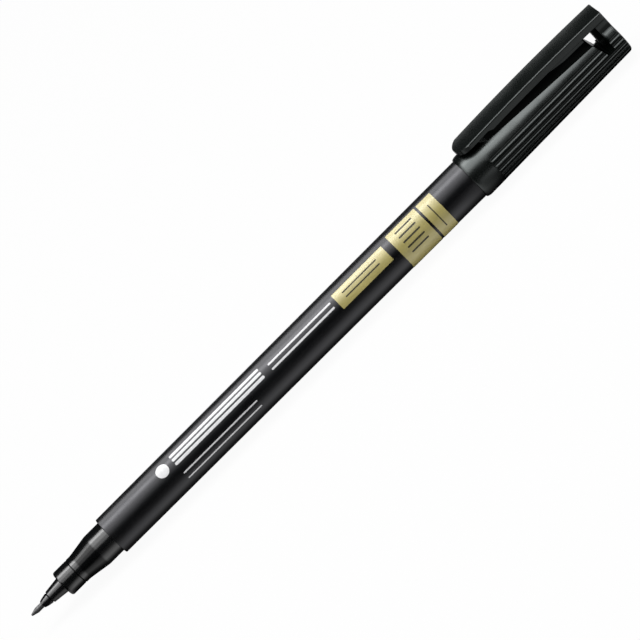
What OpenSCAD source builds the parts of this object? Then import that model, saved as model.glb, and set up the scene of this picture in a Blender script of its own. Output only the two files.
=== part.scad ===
// Fine-point permanent marker with its cap posted on the tail.
// The pen lies along X, nib towards -X, pocket clip upwards, resting on Z = 0.

/* [Fibre tip] */
// Diameter of the worn writing point
nib_point_d = 0.5; // [0.3:0.05:0.8]
// Diameter of the fibre rod
nib_d = 1.15; // [0.8:0.05:1.4]
// Length of the rod that shows ahead of its holder
nib_exposed = 2.9; // [2:0.1:5]
// Length of the tapered point
nib_taper_len = 1.4; // [1:0.1:4]
// Depth that the rod reaches into the ink reservoir
nib_dip = 5.5; // [3:0.5:15]

/* [Nib holder] */
// Wall of the holder's nose at the nib
holder_nose_wall = 0.07; // [0.05:0.01:0.3]
// Diameter of the small ring behind the nose
holder_ring_d = 2.34; // [2.0:0.02:2.7]
// Length of the rounded nose with its ring
holder_nose_len = 1.8; // [1.2:0.1:3]
// Width of the V-shaped groove behind the ring
holder_groove_len = 0.3; // [0.1:0.05:0.6]
// Depth of the groove behind the ring
holder_groove_depth = 0.15; // [0.03:0.01:0.3]
// Front diameter of the holder's cone
holder_cone_front_d = 2.66; // [2.4:0.02:3.2]
// Rear diameter of the holder's cone
holder_cone_rear_d = 3.42; // [3.2:0.02:4.2]
// Length of the holder's cone
holder_cone_len = 3.3; // [2:0.1:6]
// Diameter of the stem inside the grip section
holder_stem_d = 3.0; // [2:0.1:3.2]
// Length of the stem inside the grip section
holder_stem_len = 12; // [8:0.5:16]

/* [Grip section] */
// Diameter of the front cylinder
section_front_d = 5.7; // [5:0.05:6.2]
// Length of the front cylinder
section_front_len = 3.5; // [2:0.1:6]
// Rounding of the front edge
section_edge_r = 0.5; // [0.1:0.05:0.8]
// Depth of the recess in the front face that the holder sits in
section_recess_depth = 0.5; // [0.2:0.05:1]
// Gap round the holder in the recess
section_recess_gap = 0.25; // [0.1:0.05:0.35]
// Width of the fine V-shaped groove behind the front cylinder
section_groove_len = 0.24; // [0.1:0.02:0.5]
// Depth of the fine groove
section_groove_depth = 0.12; // [0.05:0.01:0.3]
// Length of the plain ring behind the groove
section_ring_len = 0.9; // [0.5:0.1:2]
// Rise of the ring above the front cylinder
section_ring_rise = 0.04; // [0.02:0.01:0.2]
// Length of the flare
section_flare_len = 4.7; // [3:0.1:8]
// Share of the flare's rise that follows a curve instead of a straight cone
section_flare_curve = 0.15; // [0:0.05:1]
// Length of the sealing seat that the cap grips
seat_len = 3.7; // [2:0.1:5]
// Height of the step from the stem to the sealing seat
seat_step = 0.19; // [0.1:0.01:0.4]
// Length of the stem pushed into the barrel
section_stem_len = 10; // [6:0.5:16]
// Wall of the stem
section_stem_wall = 0.8; // [0.5:0.05:1.2]

/* [Barrel] */
// Outer diameter at the front rim
barrel_front_d = 8.51; // [8:0.01:10]
// Growth of the radius from the front rim to the rear shoulder
barrel_taper = 0.27; // [0.1:0.01:0.6]
// Length from the front rim to the rear shoulder
barrel_len = 96.1; // [85:0.1:110]
// Wall thickness at the front rim
barrel_wall = 0.855; // [0.6:0.005:1.1]
// Rounding of the front rim
barrel_rim_r = 0.2; // [0.05:0.05:0.4]
// Length of the slimmer tail that the posted cap sits on
tail_len = 6.0; // [4:0.1:9]

/* [End plug] */
// Length of the plug behind the tail
plug_len = 5.2; // [3:0.1:10]
// Length of the plug's stem inside the barrel
plug_stem_len = 6.0; // [4:0.1:10]
// Rounding of the plug's rear edge
plug_edge_r = 0.6; // [0.2:0.1:1.2]

/* [Ink store] */
// Thickness of the film round the fibre reservoir
film_t = 0.08; // [0.05:0.01:0.2]
// Air gap between the film and the barrel
film_air_gap = 0.12; // [0.05:0.01:0.4]
// Play at each end of the reservoir
reservoir_play = 0.3; // [0.1:0.1:1]

/* [Cap] */
// Length of the cap
cap_len = 39.4; // [36:0.05:50]
// Wall of the cap at its mouth
cap_mouth_wall = 0.72; // [0.6:0.01:1.2]
// Wall of the cap at its closed end
cap_end_wall = 0.81; // [0.7:0.01:1.2]
// Depth of the inside, from the mouth
cap_inside_depth = 26; // [24:0.5:30]
// Gap between the posted pen's plug and the step inside the cap
cap_step_gap = 0.4; // [0.2:0.1:1]
// Length of the rolled lip at the mouth
lip_len = 1.2; // [0.5:0.1:2]
// Height of the rolled lip
lip_rise = 0.4; // [0.2:0.05:0.5]
// Rounding of the closed end
cap_end_r = 0.7; // [0.2:0.05:1]
// Length of the plain band behind the mouth
cap_band_len = 5.2; // [3:0.1:10]

/* [Relief under the clip] */
// Distance from the cap's mouth to the start of the relief
relief_start = 5.5; // [5:0.1:12]
// Length of the ramp down to the sloping flat
relief_ramp = 1.8; // [0.5:0.1:4]
// Depth of the flat below the cap's skin at the end of the ramp
relief_front_depth = 0.7; // [0.3:0.05:0.8]
// Depth of the flat below the cap's skin at the end collar
relief_rear_depth = 1.5; // [0.8:0.05:1.6]

/* [Grip ribs] */
// Number of grooves between the ribs
groove_count = 17; // [7:1:21]
// Angle from the clip to the first groove on each side
groove_start = 68; // [50:0.5:100]
// Radius of a groove's section
groove_r = 0.55; // [0.3:0.05:0.8]
// Depth of a groove
groove_depth = 0.28; // [0.05:0.01:0.33]

/* [Vent slot] */
// Length of the end collar behind the slot
collar_len = 3.75; // [2:0.05:4.5]
// Length of the pockets beside the collar's web, along the pen
pocket_len = 1.05; // [0.3:0.05:1.5]
// Thickness of the web between the two pockets
web_t = 1.5; // [0.8:0.1:3]
// Width of the slot at the cap's skin
slot_top_w = 2.3; // [1:0.05:2.4]
// Width of the slot at its rounded floor
slot_floor_w = 0.7; // [0.3:0.05:1]
// Height of the slot's floor above the pen's axis
slot_floor_h = -0.5; // [-1:0.1:2]

/* [Clip] */
// Width of the clip
clip_w = 6.2; // [4:0.1:6.6]
// Distance from the cap's mouth to the free end
clip_setback = 1.35; // [0.5:0.05:6]
// Height of the highest point of the bow above the cap's skin there
clip_rise = 2.52; // [2.4:0.01:3.4]
// Distance from the closed end to the highest point of the bow
clip_bow_x = 15.6; // [8:0.1:22]
// Radius of the lengthwise bow
clip_bow_r = 480; // [300:1:2000]
// Radius of the shallow dish across the upper face
clip_dish_r = 20; // [15:0.5:60]
// Thickness of the blade
clip_t = 1.6; // [1.3:0.05:1.9]
// Rounding of the blade's upper long edges
clip_edge_r = 0.3; // [0.05:0.01:0.4]
// Rounding of the blade's lower long edges
clip_under_r = 0.1; // [0.05:0.01:0.3]
// Straight part of the free end between its round corners, seen from above
clip_free_flat = 0.4; // [0.1:0.1:4]
// Corner radius of the root, seen from above
clip_root_corner = 0.6; // [0.3:0.1:2]
// Length of the thinner free end
clip_thin_len = 7.2; // [4:0.1:12]
// Length of the slope behind the thinner free end
clip_thin_slope = 1.2; // [0.5:0.1:3]
// Thickness taken off the underside of the free end
clip_thin_depth = 0.58; // [0.1:0.01:0.7]
// Inset of the clip's root from its sides
root_inset = 0.2; // [0.1:0.05:1.2]
// Inset of the stiffening rib from the clip's sides
stiffener_inset = 0.6; // [0.2:0.05:1.2]
// Distance from the end collar to the stiffening rib's front end
stiffener_len = 12.5; // [8:0.5:24]
// Length of the stiffening rib's sloping start
stiffener_ramp = 5; // [2:0.5:8]
// Gap from the stiffening rib to the cap's skin
stiffener_gap = 0.15; // [0.1:0.05:0.5]
// Radius of the gripping bead under the free end
bead_r = 0.6; // [0.4:0.05:0.7]
// Width of the bead across the clip
bead_w = 3; // [1:0.1:4]
// Distance from the free end to the bead's centre
bead_setback = 1.6; // [1.2:0.1:3]
// Gap from the bead to the cap's skin
bead_gap = 0.2; // [0.1:0.05:0.5]

/* [Fits] */
// Radial gap between pieces pushed together for good
push_gap = 0.02; // [0.01:0.01:0.05]
// Radial clearance of the cap on the pen
cap_clearance = 0.05; // [0.02:0.01:0.1]
// Gap between the cap's mouth and the barrel's shoulder
cap_seat_gap = 0.1; // [0.05:0.05:0.3]
// Seam between the clip's root and the end collar
clip_seam = 0.05; // [0.03:0.01:0.1]

/* [Hidden] */
$fn = 96;
FLARE_STEPS = 24;
ROUND_STEPS = 8;
BOW_FN = 3600;
DISH_FN = 720;
CUT = 1;

// Radii that follow from the fits
bore_r = barrel_front_d / 2 - barrel_wall;
stem_r = bore_r - push_gap;
seat_r = bore_r + seat_step;
tail_r = barrel_front_d / 2;
shoulder_r = tail_r + barrel_taper;
section_front_r = section_front_d / 2;
section_ring_r = section_front_r + section_ring_rise;
mouth_bore_r = tail_r + cap_clearance;
inside_r = seat_r + cap_clearance;
seal_r = section_ring_r + cap_clearance;
mouth_r = mouth_bore_r + cap_mouth_wall;
end_r = inside_r + cap_end_wall;
film_r = bore_r - film_air_gap;
nib_hole_r = nib_d / 2 + push_gap;

// Stations along the pen, from the writing point
x_holder = nib_exposed;
x_ring = x_holder + holder_nose_len;
x_cone = x_ring + holder_groove_len;
x_section = x_cone + holder_cone_len;
x_recess = x_section + section_recess_depth;
x_groove = x_section + section_front_len;
x_flare = x_groove + section_groove_len + section_ring_len;
x_seat = x_flare + section_flare_len;
x_barrel = x_seat + seat_len;
x_section_end = x_barrel + section_stem_len;
x_shoulder = x_barrel + barrel_len;
x_tail_end = x_shoulder + tail_len;
x_plug_end = x_tail_end + plug_len;
x_plug_stem = x_tail_end - plug_stem_len;
x_reservoir = x_section_end + reservoir_play;
x_reservoir_end = x_plug_stem - reservoir_play;
x_nib_end = x_reservoir + nib_dip;
x_mouth = x_shoulder + cap_seat_gap;
x_band_end = x_mouth + cap_band_len;
x_step = x_plug_end + cap_step_gap;
x_inside_end = x_mouth + cap_inside_depth;
x_end = x_mouth + cap_len;
x_collar = x_end - collar_len;
x_relief = x_mouth + relief_start;
x_free = x_mouth + clip_setback;
x_bow = x_end - clip_bow_x;

// Slope and radius of the cap's outer cone
cap_slope = atan((mouth_r - end_r) / cap_len);
function cap_r(x) = mouth_r - (mouth_r - end_r) * (x - x_mouth) / cap_len;

// Heights of the blade's upper edges and of its underside above the pen's axis
clip_top = cap_r(x_bow) + clip_rise;
function blade_top(x) = clip_top - (x - x_bow) * (x - x_bow) / (2 * clip_bow_r);
function blade_under(x) = blade_top(x) - clip_t;

// Angle that the blade's bow covers on each side of its highest point
bow_free_angle = atan((x_bow - x_free + CUT) / clip_bow_r);
bow_root_angle = atan((x_end - x_bow + CUT) / clip_bow_r);

// Points [radius, x] on an arc about (r, x), angles measured from the radial direction
function arc(r, x, radius, from, to) =
    [for (i = [0:ROUND_STEPS])
        let (a = from + (to - from) * i / ROUND_STEPS)
        [r + radius * cos(a), x + radius * sin(a)]];

// Points [radius, x] on a quarter ellipse that rises from the lip's edge to the cone
function lip() =
    [for (i = [0:ROUND_STEPS])
        let (a = 90 * i / ROUND_STEPS)
        [mouth_r - lip_rise * (1 - sin(a)), x_mouth + lip_len * (1 - cos(a))]];

// Points [radius, x] on the flare from the ring to the sealing seat, nearly straight and eased at both ends
function flare() =
    [for (i = [0:FLARE_STEPS])
        let (s = i / FLARE_STEPS,
             eased = s + section_flare_curve * ((1 - cos(180 * s)) / 2 - s))
        [section_ring_r + (seat_r - section_ring_r) * eased, x_flare + section_flare_len * s]];

// Moves the pen so that it is centred over the origin and rests on Z = 0
module lay_down() {
    translate([-x_end / 2, 0, mouth_r])
        children();
}

// A profile of [radius, x] points turned about the pen's axis
module turned(profile) {
    rotate([0, 90, 0])
        rotate_extrude()
            polygon(profile);
}

// A plain round hole or rod on the pen's axis
module rod(r, from, to) {
    translate([from, 0, 0])
        rotate([0, 90, 0])
            cylinder(r = r, h = to - from);
}

// Side view, as [x, height] points, pulled out across the pen
module side_plate(width, points) {
    rotate([90, 0, 0])
        linear_extrude(height = width, center = true)
            polygon(points);
}

// Bonded fibre rod with a tapered, rounded writing point
module fibre_tip() {
    point_r = nib_point_d / 2;
    color("dimgray")
        lay_down()
            turned(concat(
                [[0, 0]],
                arc(0, point_r, point_r, -75, 0),
                [[nib_d / 2, nib_taper_len], [nib_d / 2, x_nib_end], [0, x_nib_end]]));
}

// Moulded nose that carries the fibre rod
module nib_holder() {
    nose_r = nib_hole_r + holder_nose_wall;
    ring_r = holder_ring_d / 2;
    cone_rear_r = holder_cone_rear_d / 2;
    stem_end = x_section + holder_stem_len;
    nose = [for (i = [0:FLARE_STEPS])
        let (s = i / FLARE_STEPS)
        [nose_r + (ring_r - nose_r) * (s + sqrt(1 - (1 - s) * (1 - s))) / 2,
         x_holder + holder_nose_len * s]];
    color("#26272a")
        lay_down()
            turned(concat(
                [[nib_hole_r, x_holder]],
                nose,
                [[ring_r - holder_groove_depth, x_ring + holder_groove_len / 2],
                 [holder_cone_front_d / 2, x_cone],
                 [cone_rear_r, x_section],
                 [cone_rear_r, x_recess],
                 [holder_stem_d / 2, x_recess],
                 [holder_stem_d / 2, stem_end],
                 [nib_hole_r, stem_end]]));
}

// Glossy nose section: front cylinder, groove, flare and the seat that the cap seals on
module grip_section() {
    stem_bore_r = stem_r - section_stem_wall;
    holder_bore_r = holder_stem_d / 2 + push_gap;
    recess_r = holder_cone_rear_d / 2 + section_recess_gap;
    floor_x = x_section + holder_stem_len + reservoir_play;
    color("#19191c")
        lay_down()
            turned(concat(
                [[holder_bore_r, x_recess],
                 [recess_r, x_recess],
                 [recess_r, x_section]],
                arc(section_front_r - section_edge_r, x_section + section_edge_r, section_edge_r, -90, 0),
                [[section_front_r, x_groove],
                 [section_front_r - section_groove_depth, x_groove + section_groove_len / 2],
                 [section_ring_r, x_groove + section_groove_len]],
                flare(),
                [[seat_r, x_barrel],
                 [stem_r, x_barrel],
                 [stem_r, x_section_end],
                 [stem_bore_r, x_section_end],
                 [stem_bore_r, floor_x],
                 [holder_bore_r, floor_x]]));
}

// Slightly tapered tube with a slimmer tail for the posted cap
module barrel() {
    color("#1e1e22")
        lay_down()
            turned(concat(
                [[bore_r, x_barrel]],
                arc(tail_r - barrel_rim_r, x_barrel + barrel_rim_r, barrel_rim_r, -90, 0),
                [[shoulder_r, x_shoulder],
                 [tail_r, x_shoulder],
                 [tail_r, x_tail_end],
                 [bore_r, x_tail_end]]));
}

// Plug that closes the barrel; its head repeats the sealing seat's diameter
module end_plug() {
    color("#202024")
        lay_down()
            turned(concat(
                [[0, x_plug_stem],
                 [stem_r, x_plug_stem],
                 [stem_r, x_tail_end],
                 [seat_r, x_tail_end]],
                arc(seat_r - plug_edge_r, x_plug_end - plug_edge_r, plug_edge_r, 0, 90),
                [[0, x_plug_end]]));
}

// Fibre bundle that stores the ink and feeds the rod
module ink_reservoir() {
    color("#34343c")
        lay_down()
            difference() {
                rod(film_r - film_t - push_gap, x_reservoir, x_reservoir_end);
                rod(nib_hole_r, x_reservoir - CUT, x_nib_end + push_gap);
            }
}

// Thin clear film wrapped round the fibre bundle
module reservoir_film() {
    color("lightgray")
        lay_down()
            difference() {
                rod(film_r, x_reservoir, x_reservoir_end);
                rod(film_r - film_t, x_reservoir - CUT, x_reservoir_end + CUT);
            }
}

// Outer form of the cap, or the same form grown all round by a gap
module cap_form(grow = 0) {
    corner = cap_end_r + grow;
    corner_x = x_end - cap_end_r;
    turned(concat(
        [[0, x_mouth]],
        [for (p = lip()) [p[0] + grow, p[1]]],
        arc(cap_r(corner_x) + grow - corner, corner_x, corner, 0, 90),
        [[0, x_end + grow]]));
}

// One lengthwise groove with a round run-out, at an angle from the clip
module rib_groove(angle) {
    rotate([angle, 0, 0])
        translate([x_band_end, 0, cap_r(x_band_end) + groove_r - groove_depth])
            rotate([0, 90 + cap_slope, 0]) {
                sphere(r = groove_r);
                cylinder(r = groove_r, h = cap_len);
            }
}

// Sloping flat under the clip, as room for what it holds, down to the end collar
module clip_relief() {
    x_flat = x_relief + relief_ramp;
    side_plate(2 * mouth_r, [
        [x_relief, cap_r(x_relief)],
        [x_flat, cap_r(x_flat) - relief_front_depth],
        [x_collar, cap_r(x_collar) - relief_rear_depth],
        [x_collar, mouth_r],
        [x_relief, mouth_r]]);
}

// Wedge-shaped vent slot right across the cap, under the clip's root, with a pocket on each side of the web
module vent_slot() {
    floor_r = slot_floor_w / 2;
    wall_h = slot_floor_h + floor_r;
    rotate([90, 0, 0])
        linear_extrude(height = 2 * mouth_r + 2 * CUT, center = true) {
            polygon([[x_collar, wall_h],
                     [x_collar, mouth_r],
                     [x_collar - slot_top_w, mouth_r],
                     [x_collar - slot_floor_w, wall_h]]);
            translate([x_collar - floor_r, wall_h])
                circle(r = floor_r);
        }
    for (side = [0, 1])
        mirror([0, side, 0])
            translate([x_collar - floor_r, web_t / 2, wall_h])
                cube([floor_r + pocket_len, mouth_r, mouth_r - wall_h]);
}

// Ribbed cap: stepped inside, rolled lip, relief under the clip, vent slot and end collar
module cap() {
    groove_pitch = (360 - 2 * groove_start) / (groove_count - 1);
    color("#1c201e")
        lay_down()
            difference() {
                cap_form();
                rod(mouth_bore_r, x_mouth - CUT, x_mouth + tail_len);
                rod(inside_r, x_mouth, x_step);
                rod(seal_r, x_mouth, x_inside_end);
                clip_relief();
                vent_slot();
                for (i = [0:groove_count - 1])
                    rib_groove(groove_start + i * groove_pitch);
            }
}

// Plan outline of the clip with rounded corners, along X and centred on Y
module clip_plan() {
    free_corner = (clip_w - clip_free_flat) / 2;
    for (side = [-1, 1]) {
        translate([x_free + free_corner, side * clip_free_flat / 2])
            circle(r = free_corner);
        translate([x_end - clip_root_corner, side * (clip_w / 2 - clip_root_corner)])
            circle(r = clip_root_corner);
    }
    translate([x_free + free_corner, -clip_w / 2])
        square([x_end - x_free - free_corner - clip_root_corner, clip_w]);
    translate([x_free, -clip_free_flat / 2])
        square([x_end - x_free - clip_root_corner, clip_free_flat]);
    translate([x_free + free_corner, clip_root_corner - clip_w / 2])
        square([x_end - x_free - free_corner, clip_w - 2 * clip_root_corner]);
}

// Section of the blade across the clip: round edges and a shallow dish in the upper face
module blade_section() {
    rim = clip_w / 2 - clip_edge_r;
    under_rim = clip_w / 2 - clip_under_r;
    difference() {
        union() {
            translate([clip_bow_r - clip_t + clip_under_r, -rim])
                square([clip_t - clip_under_r, 2 * rim]);
            translate([clip_bow_r - clip_t, -under_rim])
                square([clip_t - clip_edge_r, 2 * under_rim]);
            translate([clip_bow_r - clip_t + clip_under_r, -clip_w / 2])
                square([clip_t - clip_edge_r - clip_under_r, clip_w]);
            for (side = [-1, 1]) {
                translate([clip_bow_r - clip_edge_r, side * rim])
                    circle(r = clip_edge_r);
                translate([clip_bow_r - clip_t + clip_under_r, side * under_rim])
                    circle(r = clip_under_r);
            }
        }
        translate([clip_bow_r + sqrt(clip_dish_r * clip_dish_r - rim * rim), 0])
            circle(r = clip_dish_r, $fn = DISH_FN);
    }
}

// Bowed and dished blade, before its ends are trimmed to the plan outline
module blade() {
    translate([x_bow, 0, clip_top - clip_bow_r])
        rotate([90, 0, 0])
            rotate([0, 0, 90 - bow_root_angle])
                rotate_extrude(angle = bow_root_angle + bow_free_angle, $fn = BOW_FN)
                    blade_section();
}

// Sprung pocket clip: blade with a thinner free end, stiffening rib, root and gripping bead
module clip() {
    stiffener_w = clip_w - 2 * stiffener_inset;
    root_w = clip_w - 2 * root_inset;
    x_rib = x_collar - stiffener_len;
    x_ramp = x_rib + stiffener_ramp;
    x_slot = x_collar - slot_top_w;
    x_root = x_collar + pocket_len;
    x_thin = x_free + clip_thin_len;
    bead_x = x_free + bead_setback;
    bead_h = cap_r(bead_x) + bead_gap + bead_r;
    color("#1b1f1d")
        lay_down()
            difference() {
                intersection() {
                    linear_extrude(height = clip_top + CUT)
                        clip_plan();
                    union() {
                        difference() {
                            blade();
                            side_plate(clip_w + CUT, [
                                [x_free - CUT, 0],
                                [x_thin + clip_thin_slope, 0],
                                [x_thin + clip_thin_slope, blade_under(x_thin + clip_thin_slope)],
                                [x_thin, blade_under(x_thin) + clip_thin_depth],
                                [x_free - CUT, blade_under(x_free - CUT) + clip_thin_depth]]);
                        }
                        side_plate(stiffener_w, [
                            [x_rib, blade_under(x_rib) + clip_t / 2],
                            [x_rib, blade_under(x_rib)],
                            [x_ramp, cap_r(x_ramp) + stiffener_gap],
                            [x_slot, cap_r(x_slot) + stiffener_gap],
                            [x_slot, blade_under(x_slot) + clip_t / 2]]);
                        side_plate(root_w, [
                            [x_root, 0],
                            [x_end, 0],
                            [x_end, blade_under(x_end) + clip_t / 2],
                            [x_root, blade_under(x_root) + clip_t / 2]]);
                        translate([bead_x, 0, bead_h])
                            rotate([90, 0, 0])
                                cylinder(r = bead_r, h = bead_w, center = true);
                    }
                }
                cap_form(clip_seam);
            }
}

fibre_tip();
nib_holder();
grip_section();
barrel();
end_plug();
ink_reservoir();
reservoir_film();
cap();
clip();
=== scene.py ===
"""Looks of a fine-point permanent marker with its cap posted on the tail."""

import math

import bmesh
import bpy
from mathutils import Matrix, Vector


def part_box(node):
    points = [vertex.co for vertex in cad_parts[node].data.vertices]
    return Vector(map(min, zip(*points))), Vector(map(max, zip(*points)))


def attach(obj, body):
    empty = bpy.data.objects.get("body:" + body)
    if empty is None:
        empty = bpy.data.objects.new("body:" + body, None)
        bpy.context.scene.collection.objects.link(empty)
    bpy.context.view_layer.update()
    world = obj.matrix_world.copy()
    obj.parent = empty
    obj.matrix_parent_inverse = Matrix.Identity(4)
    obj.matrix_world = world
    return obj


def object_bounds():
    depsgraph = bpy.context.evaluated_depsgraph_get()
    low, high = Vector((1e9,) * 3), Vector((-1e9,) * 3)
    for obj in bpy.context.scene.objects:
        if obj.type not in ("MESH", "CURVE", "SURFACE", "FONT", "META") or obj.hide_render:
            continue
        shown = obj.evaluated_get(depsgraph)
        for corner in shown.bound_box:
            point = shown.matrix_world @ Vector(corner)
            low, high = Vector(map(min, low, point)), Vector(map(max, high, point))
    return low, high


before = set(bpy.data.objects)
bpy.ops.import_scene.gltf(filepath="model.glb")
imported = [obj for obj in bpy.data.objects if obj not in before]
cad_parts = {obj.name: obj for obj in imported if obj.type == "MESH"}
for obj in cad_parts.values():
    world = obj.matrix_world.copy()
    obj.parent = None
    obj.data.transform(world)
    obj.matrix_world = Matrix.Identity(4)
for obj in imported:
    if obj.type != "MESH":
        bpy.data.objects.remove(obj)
cad_low, cad_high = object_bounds()

MM = 0.001

# The photograph: 640 pixels wide, 0.19 mm to a pixel at the pen, taken square to the pen's axis
PHOTO_PIXELS = 640
MM_PER_PIXEL = 0.19
CAMERA_DISTANCE = 0.96
CAMERA_ELEVATION = math.radians(27)
AXIS_ANGLE = math.radians(44.93)
SENSOR_MM = 36
AIM_ALONG_MM = 78.44
AIM_ABOVE_MM = 1.07

# Soft boxes along the pen, as (name, angle across it, half width, length, radiance), in degrees and metres
LIGHT_DISTANCE = 0.75
SOFT_BOXES = (
    ("overhead_core", 93, 9, 0.5, 4.2),
    ("overhead_wide", 90, 19, 1.1, 2.5),
    ("front_fill_high", 63, 9, 0.9, 1.7),
)
# The glossy nose has soft boxes instead of these, and some pieces have more of their own beside them
NOSE_PIECES = ("fibre_tip", "nib_holder", "grip_section")
NOSE_BOXES = (
    ("nose_core", 94, 10, 1.1, 4.5),
    ("nose_wide", 76, 18, 1.1, 1.2),
    ("nose_low", 62, 25, 1.1, 1.1),
)
OWN_BOXES = {
    "fibre_tip": [("nib_back", 140, 20, 1.1, 2.2)],
    "cap": [("cap_front", 64, 16, 0.9, 1.6)],
    "clip": [("clip_front", 46, 8, 0.9, 1.0), ("clip_back", 128, 9, 1.1, 2.0)],
}
BARREL_AND_PRINT_BOXES = (
    ("front_fill_low", 46, 8, 0.9, 0.7),
    ("back_skirt", 123, 13, 1.1, 3.2),
)
# Past both ends of the pen the light runs on, over all but the print, for the views along the pen
END_BOXES = (
    ("overhead_end", 90, 19, 1.6, 2.5),
    ("front_end", 63, 12, 1.6, 1.7),
    ("back_end", 120, 12, 1.6, 1.7),
)
END_OFFSETS = {"nib": -1.4, "cap": 1.4}
# The room's own dim light
ROOM_TINT = (0.85, 0.93, 1.0)
ROOM_STRENGTH = 0.02

# The floor, and what reflections show of it, as (mm from the pen's axis, tone)
FLOOR_HALF = 4.0
FLOOR_TONE = 0.86
FLOOR_WHITE_SHARE = 0.95
MIRRORED_REACH = 400
# These tones glow as painted shade and painted light: dark under the pen, brighter beside it
MIRRORED_BY_NIB = ((0, 0.01), (400, 0.01))
MIRRORED_BY_TIP = ((0, 0.1), (3, 0.4), (5, 0.5), (9, 0.2), (14, 0.05), (40, 0.01), (100, 0.01), (400, 0.2))
MIRRORED_BY_PEN = ((0, 0), (4, 0.05), (6, 1), (9, 0.85), (18, 0.24), (40, 0.05), (100, 0.03), (400, 1))
MIRRORED_BY_CAP = ((0, 0), (5, 0.01), (8, 0.07), (13, 0.26), (21, 0.62), (30, 0.6), (45, 0.1), (400, 0.15))
MIRRORED_PAST_CAP = ((0, 0.7), (400, 0.7))
TIP_BLEND = 1 * MM
CAP_BLEND = 5 * MM
PAST_CAP = 2 * MM

# Zones that shine less than the rest of their piece, as (bounds, shine, fade): some have a duller finish,
# others are painted shade, where shade falls under the clip. They are bounded in mm along the pen from the
# nib, in mm above its axis and in degrees that a face leans from straight up.
SHARP = 0.2
SOFT = 2.5
DULL_AND_PAINTED_SHADE_ZONES = {
    # The flare
    "grip_section": [({"along": (13.2, 17.6)}, 0.37, SHARP)],
    # The plain band, the ribs, and painted shade on the flat under the clip, the web in the slot and the
    # collar's shoulder
    "cap": [
        ({"along": (110, 122.3)}, 0.72, SOFT),
        ({"along": (122.3, 160), "above": (-1.3, 1.8)}, 0.42, SHARP),
        ({"along": (123, 152.6), "lean": (-1, 8)}, 0.1, SHARP),
        ({"along": (153.2, 154.6), "above": (1.5, 6)}, 0.05, SHARP),
        ({"along": (154.6, 160), "above": (3.2, 6)}, 0.1, SHARP),
    ],
    # Painted shade on the sides of the root: on its foot and in a line under the blade's edge
    "clip": [
        ({"along": (150.6, 160), "above": (3.3, 4.3)}, 0.2, SHARP),
        ({"along": (150.6, 160), "above": (5.2, 5.5)}, 0.2, SHARP),
    ],
}
# The black plastics shine in slightly different tones
BARREL_SHEEN = (0.95, 0.95, 1.0)
CAP_SHEEN = (0.93, 1.0, 0.99)
PLASTIC_IOR = 1.53
# The part of a noise value's range that most of a surface has
NOISE_LOW = 0.3
NOISE_HIGH = 0.7

# Print on the barrel: a layer half above and half below the skin, in steps of a few degrees
PRINT_HALF_T = 0.015 * MM
PRINT_STEP = math.radians(3)
ROUND_STEPS = 12
END_TURN = math.radians(10)
# Areas, as (name, mm along the pen from the nib, degrees round it)
GOLD_AREAS = (
    ("gold_label", (83.1, 96.4), (23.4, 71.7)),
    ("gold_band_wide", (98.2, 105.85), (12, 309)),
    ("gold_band_narrow", (106.4, 110.05), (12, 309)),
)
DARK_CROSS_LINE = ("dark_band_line", (108.05, 108.3), (35, 108))
# Lengthwise lines, as (name, mm along the pen from the nib, degrees round it, width in mm)
WHITE_DOT = ("white_dot", (35.7, 38.5), 36.5, 2.8)
# Groups of such lines, with the degrees of each line
WHITE_LINES = (
    ("white_bold_line", (39.75, 63.5), (23.5, 36.5, 49.5), 0.6),
    ("white_fine_line", (39.75, 59.3), (80, 99), 0.3),
    ("white_middle_line", (65.4, 82.1), (36, 52), 0.4),
)
DARK_LINES = (
    ("dark_label_line", (85.0, 94.0), (40, 54), 0.28),
    ("dark_band_bar", (99.9, 104.3), (28, 44, 60, 76, 92), 0.35),
)

# Places along the pen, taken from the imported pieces
nib_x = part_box("fibre_tip")[0].x
holder_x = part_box("nib_holder")[0].x
section_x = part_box("grip_section")[0].x
cap_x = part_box("cap")[0].x
cap_end_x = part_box("cap")[1].x
barrel_low, barrel_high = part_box("barrel")
axis_z = (barrel_low.z + barrel_high.z) / 2


def turned(first, second, third, place):
    """The matrix of an object with these three axes, at a place."""
    return Matrix((
        (first.x, second.x, third.x, place.x),
        (first.y, second.y, third.y, place.y),
        (first.z, second.z, third.z, place.z),
        (0, 0, 0, 1),
    ))


def add_camera():
    """A long lens square to the pen, rolled so that the pen runs up to the right."""
    along = Vector((1, 0, 0))
    towards = Vector((0, -math.cos(CAMERA_ELEVATION), math.sin(CAMERA_ELEVATION)))
    above = towards.cross(along)
    right = math.cos(AXIS_ANGLE) * along - math.sin(AXIS_ANGLE) * above
    up = math.sin(AXIS_ANGLE) * along + math.cos(AXIS_ANGLE) * above
    aim = Vector((nib_x + AIM_ALONG_MM * MM, 0, axis_z)) + above * AIM_ABOVE_MM * MM
    data = bpy.data.cameras.new("camera")
    data.sensor_width = SENSOR_MM
    half_view = PHOTO_PIXELS * MM_PER_PIXEL * MM / 2
    data.lens = SENSOR_MM / 2 * CAMERA_DISTANCE / half_view
    camera = bpy.data.objects.new("camera", data)
    bpy.context.scene.collection.objects.link(camera)
    camera.matrix_world = turned(right, up, towards, aim + towards * CAMERA_DISTANCE)
    bpy.context.scene.camera = camera


def soft_box(name, angle_deg, half_width_deg, length, radiance, offset=0.0):
    """A soft box along the pen, at an angle in the plane across it (0 in front, 90 overhead), facing it."""
    width = 2 * LIGHT_DISTANCE * math.tan(math.radians(half_width_deg))
    data = bpy.data.lights.new(name, "AREA")
    data.shape = "RECTANGLE"
    data.size = length
    data.size_y = width
    data.energy = radiance * math.pi * length * width
    light = bpy.data.objects.new(name, data)
    bpy.context.scene.collection.objects.link(light)
    angle = math.radians(angle_deg)
    along = Vector((1, 0, 0))
    back = Vector((0, -math.cos(angle), math.sin(angle)))
    place = Vector((offset, 0, axis_z)) + back * LIGHT_DISTANCE
    light.matrix_world = turned(along, back.cross(along), back, place)
    return light


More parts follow.
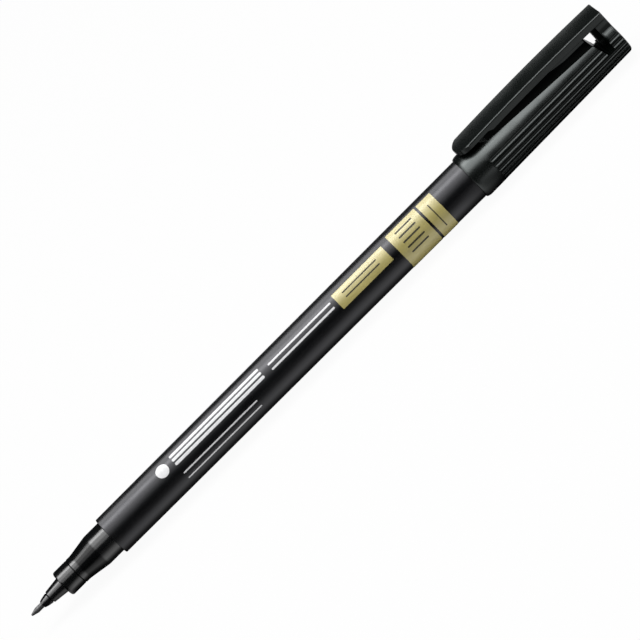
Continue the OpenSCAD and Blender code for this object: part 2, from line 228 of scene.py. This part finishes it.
def link_light(light, pieces, state):
    """Keeps a lamp's light to some pieces (INCLUDE) or away from them (EXCLUDE)."""
    linked = bpy.data.collections.new(light.name)
    for piece in pieces:
        linked.objects.link(piece)
    for entry in linked.collection_objects:
        entry.light_linking.link_state = state
    light.light_linking.receiver_collection = linked


def add_soft_boxes():
    """The soft boxes of the nose and of all the rest, of single pieces, and past the pen's ends."""
    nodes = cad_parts
    nose = [nodes[name] for name in NOSE_PIECES]
    for box in SOFT_BOXES:
        link_light(soft_box(*box), nose, "EXCLUDE")
    for box in NOSE_BOXES:
        link_light(soft_box(*box), nose, "INCLUDE")
    for node_name, boxes in OWN_BOXES.items():
        for box in boxes:
            link_light(soft_box(*box), [nodes[node_name]], "INCLUDE")
    for end, offset in END_OFFSETS.items():
        for name, *sizes in END_BOXES:
            link_light(soft_box(f"{name}_{end}", *sizes, offset), nodes.values(), "INCLUDE")


def add_node(tree, kind, inputs=None, **settings):
    """A shader node; inputs maps a socket to a constant or to the socket that feeds it."""
    node = tree.nodes.new("ShaderNode" + kind)
    for key, value in settings.items():
        setattr(node, key, value)
    for socket, value in (inputs or {}).items():
        if isinstance(value, bpy.types.NodeSocket):
            tree.links.new(value, node.inputs[socket])
        else:
            node.inputs[socket].default_value = value
    return node


def math_node(tree, operation, first, second=0.0):
    return add_node(tree, "Math", {0: first, 1: second}, operation=operation).outputs[0]


def set_stops(ramp, stops):
    """Sets a colour ramp's stops, as (position, colour), from its first to its last."""
    while len(ramp.elements) < len(stops):
        ramp.elements.new(1.0)
    for element, (position, colour) in zip(ramp.elements, stops):
        element.position = position
        element.color = (*colour, 1)


def ramp_over(tree, value, middle, half_width):
    """0 below a value and 1 above it, with a soft edge."""
    limits = {"From Min": middle - half_width, "From Max": middle + half_width}
    return add_node(tree, "MapRange", {"Value": value, **limits}).outputs[0]


def painted_floor_reflection(tree, distance, tones):
    """Painted light and shade that reflections show of the floor: a glowing tone by the distance from the
    pen's axis.
    """
    share = math_node(tree, "DIVIDE", distance, MIRRORED_REACH * MM)
    tone = add_node(tree, "ValToRGB", {"Fac": share})
    set_stops(tone.color_ramp, [(mm / MIRRORED_REACH, (level,) * 3) for mm, level in tones])
    return add_node(tree, "Emission", {"Color": tone.outputs["Color"], "Strength": 1.0}).outputs[0]


def floor_material():
    """White to the camera, with the pen's shadow kept; in reflections it glows with painted shade and light
    instead.
    """
    material = bpy.data.materials.new("floor")
    material.use_nodes = True
    tree = material.node_tree
    tree.nodes.clear()
    path = add_node(tree, "LightPath").outputs
    place = add_node(tree, "SeparateXYZ", {0: add_node(tree, "TexCoord").outputs["Object"]}).outputs
    paint = add_node(tree, "BsdfDiffuse", {"Color": (FLOOR_TONE, FLOOR_TONE, FLOOR_TONE, 1)}).outputs[0]
    white = add_node(tree, "Emission", {"Color": (1, 1, 1, 1), "Strength": 1.0}).outputs[0]
    seen_share = math_node(tree, "MULTIPLY", path["Is Camera Ray"], FLOOR_WHITE_SHARE)
    seen = add_node(tree, "MixShader", {0: seen_share, 1: paint, 2: white}).outputs[0]
    distance = math_node(tree, "ABSOLUTE", place["Y"])
    mirrored = painted_floor_reflection(tree, distance, MIRRORED_BY_NIB)
    # Each stretch of the pen has its own painted shade and light in the floor's reflection
    stations = (
        (holder_x, TIP_BLEND, MIRRORED_BY_TIP),
        (section_x, TIP_BLEND, MIRRORED_BY_PEN),
        (cap_x, CAP_BLEND, MIRRORED_BY_CAP),
        (cap_end_x + PAST_CAP, TIP_BLEND, MIRRORED_PAST_CAP),
    )
    for station, blend, tones in stations:
        after = painted_floor_reflection(tree, distance, tones)
        share = ramp_over(tree, place["X"], station, blend)
        mirrored = add_node(tree, "MixShader", {0: share, 1: mirrored, 2: after}).outputs[0]
    # Reflections see these painted tones, not the lit floor
    by_mirror = math_node(tree, "MAXIMUM", path["Is Glossy Ray"], path["Is Transmission Ray"])
    mix = add_node(tree, "MixShader", {0: by_mirror, 1: seen, 2: mirrored}).outputs[0]
    add_node(tree, "OutputMaterial", {"Surface": mix})
    return material


def add_floor():
    """A pale floor under the pen."""
    corners = [(x * FLOOR_HALF, y * FLOOR_HALF, 0) for x, y in ((-1, -1), (1, -1), (1, 1), (-1, 1))]
    mesh = bpy.data.meshes.new("floor")
    mesh.from_pydata(corners, [], [(0, 1, 2, 3)])
    mesh.materials.append(floor_material())
    floor = bpy.data.objects.new("floor", mesh)
    bpy.context.scene.collection.objects.link(floor)
    floor.location.z = cad_low.z


def set_world():
    """A dim, slightly blue room."""
    world = bpy.data.worlds.new("studio")
    bpy.context.scene.world = world
    world.use_nodes = True
    background = world.node_tree.nodes["Background"]
    background.inputs["Color"].default_value = (*ROOM_TINT, 1)
    background.inputs["Strength"].default_value = ROOM_STRENGTH


def new_material(name, sockets):
    """A material with one principled shader, its constants set straight on the shader's sockets."""
    material = bpy.data.materials.new(name)
    material.use_nodes = True
    tree = material.node_tree
    shader = tree.nodes["Principled BSDF"]
    for socket, value in sockets.items():
        shader.inputs[socket].default_value = value
    place = add_node(tree, "TexCoord").outputs["Object"]
    return material, tree, shader, place


def noise(tree, place, size_mm, stretch=1.0, detail=3.0):
    """Soft noise with features of one size in mm, drawn out along the pen by the stretch."""
    scale = 1 / (size_mm * MM)
    scaled = add_node(tree, "Mapping", {"Vector": place, "Scale": (scale / stretch, scale, scale)})
    inputs = {"Vector": scaled.outputs[0], "Scale": 1.0, "Detail": detail}
    return add_node(tree, "TexNoise", inputs).outputs["Fac"]


def tint(tree, shader, fac, dark, light):
    """Base colour between two tones, by a noise value."""
    tone = add_node(tree, "ValToRGB", {"Fac": fac})
    set_stops(tone.color_ramp, ((NOISE_LOW, dark), (NOISE_HIGH, light)))
    tree.links.new(tone.outputs["Color"], shader.inputs["Base Color"])


def vary_roughness(tree, shader, fac, low, high):
    """Roughness between two values, by a noise value."""
    limits = {"From Min": NOISE_LOW, "From Max": NOISE_HIGH, "To Min": low, "To Max": high}
    spread = add_node(tree, "MapRange", {"Value": fac, **limits})
    tree.links.new(spread.outputs[0], shader.inputs["Roughness"])


def emboss(tree, shader, fac, depth_mm, strength):
    """Relief of a small depth, by a noise value."""
    bump = add_node(tree, "Bump", {"Height": fac, "Distance": depth_mm * MM, "Strength": strength})
    tree.links.new(bump.outputs["Normal"], shader.inputs["Normal"])


def moulded_plastic(name, dark, light, roughness, specular, grain_mm, grain_depth_mm, sheen=(1, 1, 1)):
    """Moulded black plastic: flow lines in the tone, handling smudges in the gloss and a fine grain."""
    constants = {"Specular IOR Level": specular, "Specular Tint": (*sheen, 1), "IOR": PLASTIC_IOR}
    material, tree, shader, place = new_material(name, constants)
    tint(tree, shader, noise(tree, place, size_mm=1.2, stretch=12), dark, light)
    vary_roughness(tree, shader, noise(tree, place, size_mm=5), *roughness)
    emboss(tree, shader, noise(tree, place, grain_mm, stretch=2), grain_depth_mm, strength=0.3)
    return material


def zone_measures(tree):
    """What zones are bounded by, as sockets."""
    coordinates = add_node(tree, "TexCoord").outputs
    place = add_node(tree, "SeparateXYZ", {0: coordinates["Object"]}).outputs
    facing = add_node(tree, "SeparateXYZ", {0: coordinates["Normal"]}).outputs
    from_nib = math_node(tree, "SUBTRACT", place["X"], nib_x)
    from_axis = math_node(tree, "SUBTRACT", place["Z"], axis_z)
    return {
        "along": math_node(tree, "DIVIDE", from_nib, MM),
        "above": math_node(tree, "DIVIDE", from_axis, MM),
        "lean": math_node(tree, "DEGREES", math_node(tree, "ARCCOSINE", facing["Z"])),
    }


def between(tree, value, low, high, fade):
    """1 between two values and 0 outside them, with soft edges."""
    return math_node(tree, "SUBTRACT", *[ramp_over(tree, value, edge, fade) for edge in (low, high)])


def dull_and_painted_shade(material, zones):
    """Takes shine off some zones of a piece: a duller finish in some, painted shade where shade falls in
    others.
    """
    tree = material.node_tree
    shader = tree.nodes["Principled BSDF"]
    measures = zone_measures(tree)
    level = shader.inputs["Specular IOR Level"].default_value
    for bounds, shine, fade in zones:
        inside = 1.0
        for measure, (low, high) in bounds.items():
            within = between(tree, measures[measure], low, high, fade)
            inside = math_node(tree, "MULTIPLY", inside, within)
        level = add_node(tree, "MapRange", {"Value": inside, "To Min": level, "To Max": shine}).outputs[0]
    tree.links.new(level, shader.inputs["Specular IOR Level"])


def fibre(name, dark, light, strand_mm, depth_mm):
    """Bonded strands that run along the pen, unevenly inked."""
    constants = {"Specular IOR Level": 1.0, "Sheen Weight": 0.1}
    material, tree, shader, place = new_material(name, constants)
    strands = noise(tree, place, strand_mm, stretch=14, detail=4)
    tint(tree, shader, strands, dark, light)
    vary_roughness(tree, shader, noise(tree, place, size_mm=0.8), low=0.34, high=0.48)
    emboss(tree, shader, strands, depth_mm, strength=0.6)
    return material


def clear_film(name):
    """Thin drawn film with long, faint wrinkles."""
    constants = {"Specular IOR Level": 0.5, "Transmission Weight": 0.6}
    material, tree, shader, place = new_material(name, constants)
    wrinkles = noise(tree, place, size_mm=1.5, stretch=10)
    tint(tree, shader, wrinkles, dark=(0.7, 0.71, 0.74), light=(0.8, 0.81, 0.83))
    vary_roughness(tree, shader, noise(tree, place, size_mm=4), low=0.12, high=0.25)
    emboss(tree, shader, wrinkles, depth_mm=0.03, strength=0.4)
    return material


def gold_ink(name):
    """Pale gold ink under a glossy varnish: uneven tone, a fine crinkle and a white sheen."""
    constants = {"Metallic": 0.05, "Specular IOR Level": 0.95, "Coat Weight": 0.5, "Coat Roughness": 0.25}
    material, tree, shader, place = new_material(name, constants)
    cover = noise(tree, place, size_mm=1.6, stretch=3)
    tint(tree, shader, cover, dark=(0.43, 0.37, 0.12), light=(0.51, 0.44, 0.155))
    vary_roughness(tree, shader, noise(tree, place, size_mm=0.9), low=0.28, high=0.38)
    emboss(tree, shader, noise(tree, place, size_mm=0.25), depth_mm=0.01, strength=0.25)
    return material


def print_ink(name, dark, light):
    """Pad-printed ink: a little uneven in cover, with a faint orange peel."""
    material, tree, shader, place = new_material(name, {"Specular IOR Level": 0.4})
    tint(tree, shader, noise(tree, place, size_mm=0.5), dark, light)
    vary_roughness(tree, shader, noise(tree, place, size_mm=1.5), low=0.42, high=0.58)
    emboss(tree, shader, noise(tree, place, size_mm=0.2), depth_mm=0.006, strength=0.3)
    return material


def dress_nodes():
    """Gives each CAD node its material."""
    looks = {
        "fibre_tip": fibre(
            "tip_fibre", dark=(0.008, 0.008, 0.0085), light=(0.036, 0.036, 0.038),
            strand_mm=0.07, depth_mm=0.02),
        "nib_holder": moulded_plastic(
            "holder_plastic", dark=(0.002, 0.002, 0.0023), light=(0.0035, 0.0035, 0.004),
            roughness=(0.17, 0.24), specular=1.0, grain_mm=0.4, grain_depth_mm=0.004),
        "grip_section": moulded_plastic(
            "section_plastic", dark=(0.0008, 0.0009, 0.001), light=(0.0015, 0.0017, 0.0018),
            roughness=(0.16, 0.22), specular=1.0, grain_mm=0.8, grain_depth_mm=0.004),
        "barrel": moulded_plastic(
            "barrel_plastic", dark=(0.0005, 0.0006, 0.0007), light=(0.001, 0.0011, 0.0013),
            roughness=(0.27, 0.33), specular=0.57, grain_mm=0.3, grain_depth_mm=0.004, sheen=BARREL_SHEEN),
        "end_plug": moulded_plastic(
            "plug_plastic", dark=(0.004, 0.004, 0.0045), light=(0.007, 0.007, 0.0075),
            roughness=(0.35, 0.45), specular=0.5, grain_mm=0.3, grain_depth_mm=0.004),
        "ink_reservoir": fibre(
            "reservoir_fibre", dark=(0.012, 0.012, 0.018), light=(0.04, 0.04, 0.05),
            strand_mm=0.15, depth_mm=0.03),
        "reservoir_film": clear_film("clear_film"),
        "cap": moulded_plastic(
            "cap_plastic", dark=(0.001, 0.0015, 0.0012), light=(0.0018, 0.0026, 0.0022),
            roughness=(0.22, 0.30), specular=0.9, grain_mm=0.25, grain_depth_mm=0.005, sheen=CAP_SHEEN),
        "clip": moulded_plastic(
            "clip_plastic", dark=(0.0012, 0.0018, 0.0015), light=(0.0024, 0.0033, 0.0028),
            roughness=(0.22, 0.29), specular=0.55, grain_mm=0.25, grain_depth_mm=0.0006, sheen=CAP_SHEEN),
    }
    # A duller finish in some zones, painted shade in others
    for node_name, zones in DULL_AND_PAINTED_SHADE_ZONES.items():
        dull_and_painted_shade(looks[node_name], zones)
    for node_name, material in looks.items():
        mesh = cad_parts[node_name].data
        mesh.materials.clear()
        mesh.materials.append(material)


def barrel_ends():
    """The barrel's front rim and rear shoulder, as (x, radius)."""
    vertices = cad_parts["barrel"].data.vertices
    points = [(v.co.x, math.hypot(v.co.y, v.co.z - axis_z)) for v in vertices]
    shoulder = max(points, key=lambda p: p[1])
    front = max((p for p in points if p[0] < barrel_low.x + MM), key=lambda p: p[1])
    return front, shoulder


(front_x, front_r), (shoulder_x, shoulder_r) = barrel_ends()


def barrel_radius(x):
    return front_r + (shoulder_r - front_r) * (x - front_x) / (shoulder_x - front_x)


def on_barrel(x, angle, lift):
    """A point over the barrel's skin; angle 0 is under the clip and grows towards the camera's side."""
    r = barrel_radius(x) + lift
    return Vector((x, -r * math.sin(angle), axis_z + r * math.cos(angle)))


def steps(from_value, to_value, count):
    return [from_value + (to_value - from_value) * i / count for i in range(count + 1)]


def printed_layer(name, rows, material, lift):
    """A thin layer over the barrel. Each row is a list of (x, angle) points; all rows have as many."""
    bm = bmesh.new()
    under, over = [
        [[bm.verts.new(on_barrel(x, angle, height)) for x, angle in row] for row in rows]
        for height in (lift - PRINT_HALF_T, lift + PRINT_HALF_T)
    ]
    last_row = len(rows) - 1
    last = len(rows[0]) - 1
    for i in range(last_row):
        j = i + 1
        for k in range(last):
            bm.faces.new((over[i][k], over[j][k], over[j][k + 1], over[i][k + 1]))
            bm.faces.new((under[i][k], under[i][k + 1], under[j][k + 1], under[j][k]))
        for k in (0, last):
            bm.faces.new((over[i][k], over[j][k], under[j][k], under[i][k]))
    for i in (0, last_row):
        for k in range(last):
            bm.faces.new((over[i][k], over[i][k + 1], under[i][k + 1], under[i][k]))
    bmesh.ops.recalc_face_normals(bm, faces=bm.faces)
    mesh = bpy.data.meshes.new(name)
    bm.to_mesh(mesh)
    bm.free()
    mesh.materials.append(material)
    piece = bpy.data.objects.new(name, mesh)
    bpy.context.scene.collection.objects.link(piece)
    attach(piece, "pen")
    return piece


def printed_area(name, along_mm, round_deg, material, lift=0.0):
    """A plain printed area between two stations along the pen and two angles round it."""
    x_from, x_to = [nib_x + mm * MM for mm in along_mm]
    from_deg, to_deg = round_deg
    turns = math.ceil(math.radians(to_deg - from_deg) / PRINT_STEP)
    angles = steps(math.radians(from_deg), math.radians(to_deg), turns)
    rows = [[(x_from, angle), (x_to, angle)] for angle in angles]
    return printed_layer(name, rows, material, lift)


def printed_line(name, along_mm, angle_deg, width_mm, material, lift=0.0):
    """A lengthwise line with round ends; as long as it is wide, it is a dot."""
    r = width_mm * MM / 2
    from_mm, to_mm = along_mm
    x_from = nib_x + from_mm * MM + r
    x_to = nib_x + to_mm * MM - r
    turns_in = steps(END_TURN, math.pi / 2, ROUND_STEPS)
    turns_out = steps(math.pi / 2, END_TURN, ROUND_STEPS)
    stations = [(x_from - r * math.cos(turn), r * math.sin(turn)) for turn in turns_in]
    stations += [(x_to + r * math.cos(turn), r * math.sin(turn)) for turn in turns_out]
    angle = math.radians(angle_deg)
    count = math.ceil(2 * r / barrel_radius(x_from) / PRINT_STEP)
    rows = []
    for x, half in stations:
        spread = half / barrel_radius(x)
        rows.append([(x, a) for a in steps(angle - spread, angle + spread, count)])
    return printed_layer(name, rows, material, lift)


def printed_lines(groups, material, lift=0.0):
    """Groups of lengthwise lines, side by side round the barrel."""
    return [printed_line(f"{name}_{k}", along_mm, angle_deg, width_mm, material, lift)
            for name, along_mm, angles_deg, width_mm in groups for k, angle_deg in enumerate(angles_deg)]


def add_prints():
    """The gold areas, the white dot and lines on the barrel, and the dark lines on the gold."""
    gold = gold_ink("gold_ink")
    white = print_ink("white_ink", dark=(0.72, 0.72, 0.73), light=(0.82, 0.82, 0.83))
    dark = print_ink("dark_ink", dark=(0.035, 0.032, 0.018), light=(0.06, 0.055, 0.03))
    prints = [printed_area(*area, gold) for area in GOLD_AREAS]
    prints.append(printed_line(*WHITE_DOT, white))
    prints += printed_lines(WHITE_LINES, white)
    prints += printed_lines(DARK_LINES, dark, lift=PRINT_HALF_T)
    prints.append(printed_area(*DARK_CROSS_LINE, dark, lift=PRINT_HALF_T))
    return prints


bpy.context.scene.view_settings.view_transform = "Standard"
add_camera()
add_floor()
set_world()
add_soft_boxes()
dress_nodes()
printed = add_prints()
for box in BARREL_AND_PRINT_BOXES:
    link_light(soft_box(*box), [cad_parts["barrel"]] + printed, "INCLUDE")
